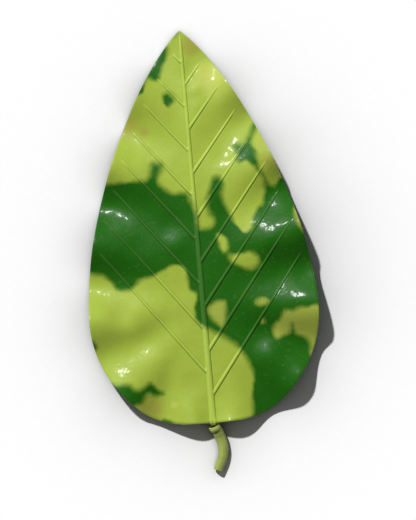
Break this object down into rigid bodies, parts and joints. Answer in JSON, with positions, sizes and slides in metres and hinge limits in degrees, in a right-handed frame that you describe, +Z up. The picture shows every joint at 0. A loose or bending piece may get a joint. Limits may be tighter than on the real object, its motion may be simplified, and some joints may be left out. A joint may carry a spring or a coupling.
{
  "type": "variegated broad leaf",
  "caption": "Cut broad leaf lying face up: wavy pointed oval blade in light and dark green with a raised midrib and side veins, and a short bent stalk.",
  "frame": {"origin": "middle of the underside of the bounding box, on the surface the leaf lies on", "axes": "+Z up from the surface, out of the leaf's upper side; +Y from the stalk towards the tip; +X to the right with the tip away from the viewer"},
  "size_m": [0.1742, 0.3374, 0.0291],
  "materials": {
    "leaf": "waxy green leaf skin, lime with dark green patches, soft gloss",
    "stem": "olive green stalk, satin, faint lengthwise grain and small brown flecks"
  },
  "bodies": {
    "root": {"leaf_blade": "leaf", "stem": "stem"}
  },
  "joints": []
}
